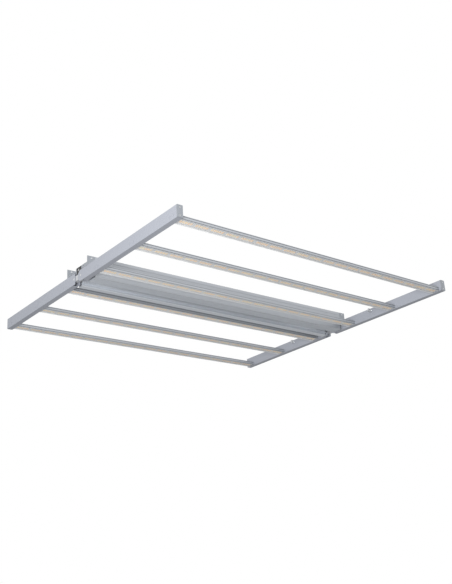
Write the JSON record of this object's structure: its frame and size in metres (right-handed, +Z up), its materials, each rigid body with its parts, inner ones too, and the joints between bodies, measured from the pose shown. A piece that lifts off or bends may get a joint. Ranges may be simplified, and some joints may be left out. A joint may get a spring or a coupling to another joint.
{
  "type": "led grow light",
  "caption": "Folding horticultural lamp frame: side rails joined by slim lamp bars under clear covers, ribbed cross beams, slim drivers and link hinges at the middle.",
  "frame": {"origin": "middle of the open light in plan, on the plane of the rails' undersides", "axes": "+X along the lamp bars, +Y along the side rails from the near to the far half, +Z up; the light leaves along -Z"},
  "size_m": [1.15, 1.072, 0.0764],
  "materials": {
    "rail_paint": "satin light blue-grey anodised or painted rail tube",
    "cap_aluminium": "satin",
    "bar_aluminium": "satin, drawn lengthwise",
    "link_aluminium": "machined",
    "steel": "zinc plated",
    "board_white": "white solder mask",
    "led_phosphor": "amber phosphor",
    "clear_cover": "clear extruded plastic, lightly frosted",
    "driver_case": "satin dark grey",
    "circuit_board": "green board",
    "black_plastic": "fine moulded",
    "rubber": "matt",
    "cable": "matt"
  },
  "bodies": {
    "near_half": {"near_left_rail": "rail_paint", "near_right_rail": "rail_paint", "near_rail_caps": "cap_aluminium", "near_cap_screws": "steel", "near_bar_screws": "rail_paint", "near_block_screws": "steel", "near_cross_beam": "bar_aluminium", "near_tray_walls": "bar_aluminium", "near_end_blocks": "cap_aluminium", "near_hinge_pins": "steel", "near_driver_case": "driver_case", "near_driver_caps": "driver_case", "near_driver_board": "circuit_board", "near_power_inlet": "black_plastic", "near_hanging_eyes": "steel", "near_wiring": "cable", "bar_1_profile": "bar_aluminium", "bar_1_boards": "board_white", "bar_1_chips": "led_phosphor", "bar_1_cover": "clear_cover", "bar_2_profile": "bar_aluminium", "bar_2_boards": "board_white", "bar_2_chips": "led_phosphor", "bar_2_cover": "clear_cover", "bar_3_profile": "bar_aluminium", "bar_3_boards": "board_white", "bar_3_chips": "led_phosphor", "bar_3_cover": "clear_cover", "stop_buffers": "rubber"},
    "far_half": {"far_left_rail": "rail_paint", "far_right_rail": "rail_paint", "far_rail_caps": "cap_aluminium", "far_cap_screws": "steel", "far_bar_screws": "rail_paint", "far_block_screws": "steel", "far_cross_beam": "bar_aluminium", "far_tray_wall": "bar_aluminium", "far_end_blocks": "cap_aluminium", "far_hinge_pins": "steel", "far_driver_case": "driver_case", "far_driver_caps": "driver_case", "far_driver_board": "circuit_board", "far_power_inlet": "black_plastic", "far_hanging_eyes": "steel", "far_wiring": "cable", "bar_4_profile": "bar_aluminium", "bar_4_boards": "board_white", "bar_4_chips": "led_phosphor", "bar_4_cover": "clear_cover", "bar_5_profile": "bar_aluminium", "bar_5_boards": "board_white", "bar_5_chips": "led_phosphor", "bar_5_cover": "clear_cover", "bar_6_profile": "bar_aluminium", "bar_6_boards": "board_white", "bar_6_chips": "led_phosphor", "bar_6_cover": "clear_cover"},
    "hinge_links": {"hinge_links": "link_aluminium"},
    "near_dial": {"near_dimmer_dial": "black_plastic"},
    "far_dial": {"far_dimmer_dial": "black_plastic"}
  },
  "joints": [
    {"name": "near_fold", "type": "hinge", "parent": "near_half", "child": "hinge_links", "pos_m": [0, -0.003, 0.0192], "axis": [-1, 0, 0], "range_deg": [0, 90]},
    {"name": "far_fold", "type": "hinge", "parent": "hinge_links", "child": "far_half", "pos_m": [0, 0.04, 0.0192], "axis": [-1, 0, 0], "range_deg": [0, 90]},
    {"name": "near_dial_turn", "type": "hinge", "parent": "near_half", "child": "near_dial", "pos_m": [0.33, -0.028, 0.0694], "axis": [0, 0, -1], "range_deg": [0, 270]},
    {"name": "far_dial_turn", "type": "hinge", "parent": "far_half", "child": "far_dial", "pos_m": [0.33, 0.06, 0.0694], "axis": [0, 0, -1], "range_deg": [0, 270]}
  ]
}
